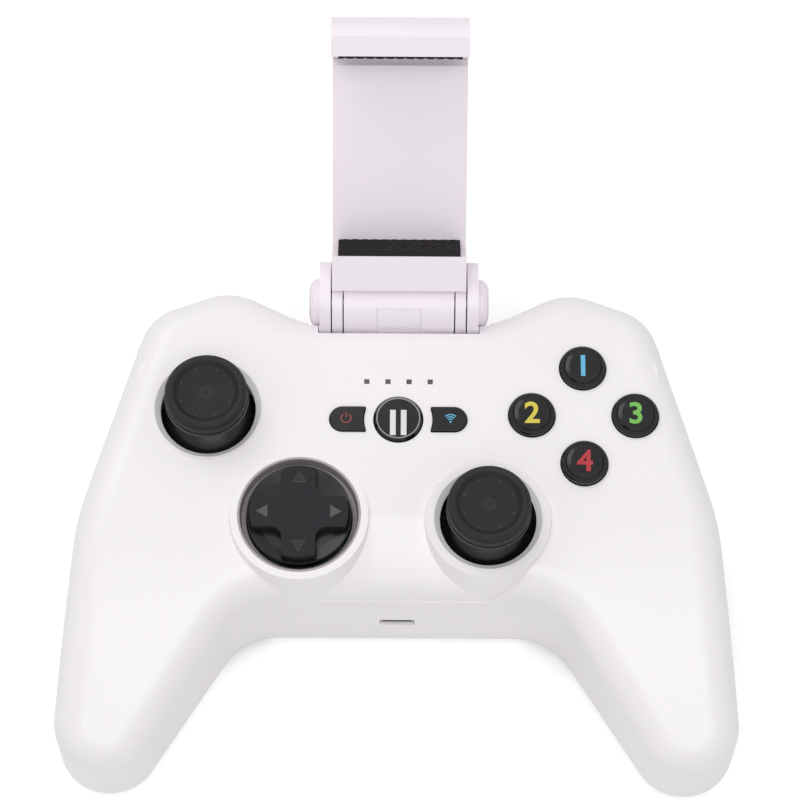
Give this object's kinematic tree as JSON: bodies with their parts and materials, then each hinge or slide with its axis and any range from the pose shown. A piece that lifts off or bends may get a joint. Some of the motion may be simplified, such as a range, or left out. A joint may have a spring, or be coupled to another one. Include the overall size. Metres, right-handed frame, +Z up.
{
  "type": "game controller",
  "caption": "Two-grip game controller with twin thumb sticks, direction pad, face buttons, shoulder buttons, triggers and a flip-up spring clamp that holds a phone.",
  "frame": {"origin": "centre of the flat belly that rests on a table, under the middle of the face", "axes": "+X to the player's right, +Y away from the player towards the clamp, +Z up out of the face"},
  "size_m": [0.1528, 0.158, 0.0891],
  "materials": {
    "white_shell": "satin",
    "white_clamp": "satin",
    "rubber_black": "matte",
    "gloss_black": "gloss",
    "matte_black": "matte",
    "bezel_grey": "satin",
    "button_black": "gloss",
    "inner_grey": "matte",
    "steel": "brushed",
    "board_green": "satin",
    "battery_foil": "satin",
    "clear_window": "gloss",
    "mat_rubber": "matte"
  },
  "bodies": {
    "root": {"top_shell": "white_shell", "bottom_shell": "white_shell", "case_screws": "steel", "main_board": "board_green", "battery_cell": "battery_foil", "usb_socket": "steel", "status_lamps": "clear_window", "lamp_windows": "clear_window", "key_switches": "steel", "button_mat": "mat_rubber", "left_stick_housing": "steel", "right_stick_housing": "steel", "dpad_post": "inner_grey", "dpad_bezel": "bezel_grey", "bumper_pins": "steel", "bumper_switches": "inner_grey", "trigger_pins": "steel", "trigger_springs": "steel", "hinge_base": "white_clamp", "hinge_cover": "white_clamp", "hinge_pin": "steel", "left_hinge_cap": "white_clamp", "right_hinge_cap": "white_clamp"},
    "dpad_rocker": {"dpad_frame": "inner_grey"},
    "dpad": {"dpad_disc": "gloss_black", "dpad_cross": "matte_black"},
    "button_top": {"button_top": "button_black"},
    "button_bottom": {"button_bottom": "button_black"},
    "button_left": {"button_left": "button_black"},
    "button_right": {"button_right": "button_black"},
    "centre_button": {"centre_button": "button_black"},
    "power_button": {"power_button": "button_black"},
    "wireless_button": {"wireless_button": "button_black"},
    "left_bumper": {"left_bumper": "gloss_black"},
    "right_bumper": {"right_bumper": "gloss_black"},
    "left_trigger": {"left_trigger": "gloss_black"},
    "right_trigger": {"right_trigger": "gloss_black"},
    "left_frame": {"left_gimbal_frame": "inner_grey"},
    "left_hub": {"left_gimbal_hub": "inner_grey"},
    "left_stick": {"left_stick_post": "gloss_black", "left_stick_cap": "rubber_black"},
    "right_frame": {"right_gimbal_frame": "inner_grey"},
    "right_hub": {"right_gimbal_hub": "inner_grey"},
    "right_stick": {"right_stick_post": "gloss_black", "right_stick_cap": "rubber_black"},
    "clamp": {"clamp_body": "white_clamp", "clamp_back": "white_clamp", "lower_pad": "rubber_black", "clamp_spring": "steel", "clamp_screws": "steel"},
    "jaw": {"clamp_jaw": "white_clamp", "upper_pad": "rubber_black"}
  },
  "joints": [
    {"name": "press_top", "type": "slide", "parent": "root", "child": "button_top", "axis": [0, 0, -1], "range_m": [0, 0.0013], "stiffness_N_per_m": 400, "springref_m": -0.0006},
    {"name": "press_bottom", "type": "slide", "parent": "root", "child": "button_bottom", "axis": [0, 0, -1], "range_m": [0, 0.0013], "stiffness_N_per_m": 400, "springref_m": -0.0006},
    {"name": "press_left", "type": "slide", "parent": "root", "child": "button_left", "axis": [0, 0, -1], "range_m": [0, 0.0013], "stiffness_N_per_m": 400, "springref_m": -0.0006},
    {"name": "press_right", "type": "slide", "parent": "root", "child": "button_right", "axis": [0, 0, -1], "range_m": [0, 0.0013], "stiffness_N_per_m": 400, "springref_m": -0.0006},
    {"name": "press_centre", "type": "slide", "parent": "root", "child": "centre_button", "axis": [0, 0, -1], "range_m": [0, 0.0007], "stiffness_N_per_m": 500, "springref_m": -0.0004},
    {"name": "press_power", "type": "slide", "parent": "root", "child": "power_button", "axis": [0, 0, -1], "range_m": [0, 0.0007], "stiffness_N_per_m": 500, "springref_m": -0.0004},
    {"name": "press_wireless", "type": "slide", "parent": "root", "child": "wireless_button", "axis": [0, 0, -1], "range_m": [0, 0.0007], "stiffness_N_per_m": 500, "springref_m": -0.0004},
    {"name": "dpad_tilt_x", "type": "hinge", "parent": "root", "child": "dpad_rocker", "pos_m": [-0.022, -0.0153, 0.032], "axis": [1, 0, 0], "range_deg": [-4.5, 4.5], "stiffness_Nm_per_rad": 0.06},
    {"name": "dpad_tilt_y", "type": "hinge", "parent": "dpad_rocker", "child": "dpad", "pos_m": [-0.022, -0.0153, 0.032], "axis": [0, 1, 0], "range_deg": [-4.5, 4.5], "stiffness_Nm_per_rad": 0.06},
    {"name": "left_stick_tilt_x", "type": "hinge", "parent": "root", "child": "left_frame", "pos_m": [-0.0431, 0.0106, 0.0268], "axis": [1, 0, 0], "range_deg": [-12, 12], "stiffness_Nm_per_rad": 0.06},
    {"name": "left_stick_tilt_y", "type": "hinge", "parent": "left_frame", "child": "left_hub", "pos_m": [-0.0431, 0.0106, 0.0268], "axis": [0, 1, 0], "range_deg": [-12, 12], "stiffness_Nm_per_rad": 0.06},
    {"name": "left_stick_click", "type": "slide", "parent": "left_hub", "child": "left_stick", "axis": [0, 0, -1], "range_m": [0, 0.0005], "stiffness_N_per_m": 1500, "springref_m": -0.0005},
    {"name": "right_stick_tilt_x", "type": "hinge", "parent": "root", "child": "right_frame", "pos_m": [0.0202, -0.016, 0.0268], "axis": [1, 0, 0], "range_deg": [-12, 12], "stiffness_Nm_per_rad": 0.06},
    {"name": "right_stick_tilt_y", "type": "hinge", "parent": "right_frame", "child": "right_hub", "pos_m": [0.0202, -0.016, 0.0268], "axis": [0, 1, 0], "range_deg": [-12, 12], "stiffness_Nm_per_rad": 0.06},
    {"name": "right_stick_click", "type": "slide", "parent": "right_hub", "child": "right_stick", "axis": [0, 0, -1], "range_m": [0, 0.0005], "stiffness_N_per_m": 1500, "springref_m": -0.0005},
    {"name": "left_bumper_press", "type": "hinge", "parent": "root", "child": "left_bumper", "pos_m": [-0.0262, 0.0326, 0.027], "axis": [0, 0, 1], "range_deg": [0, 2.2], "stiffness_Nm_per_rad": 0.5, "springref_deg": -1.72},
    {"name": "right_bumper_press", "type": "hinge", "parent": "root", "child": "right_bumper", "pos_m": [0.0262, 0.0326, 0.027], "axis": [0, 0, -1], "range_deg": [0, 2.2], "stiffness_Nm_per_rad": 0.5, "springref_deg": -1.72},
    {"name": "left_trigger_pull", "type": "hinge", "parent": "root", "child": "left_trigger", "pos_m": [-0.039, 0.0295, 0.016], "axis": [-1, 0, 0], "range_deg": [0, 15], "stiffness_Nm_per_rad": 0.08, "springref_deg": -20.05},
    {"name": "right_trigger_pull", "type": "hinge", "parent": "root", "child": "right_trigger", "pos_m": [0.039, 0.0295, 0.016], "axis": [-1, 0, 0], "range_deg": [0, 15], "stiffness_Nm_per_rad": 0.08, "springref_deg": -20.05},
    {"name": "clamp_fold", "type": "hinge", "parent": "root", "child": "clamp", "pos_m": [0, 0.0384, 0.03825], "axis": [1, 0, 0], "range_deg": [-38, 45]},
    {"name": "jaw_slide", "type": "slide", "parent": "clamp", "child": "jaw", "axis": [0, 0.7278, 0.6858], "range_m": [0, 0.032], "stiffness_N_per_m": 60, "springref_m": -0.02}
  ]
}
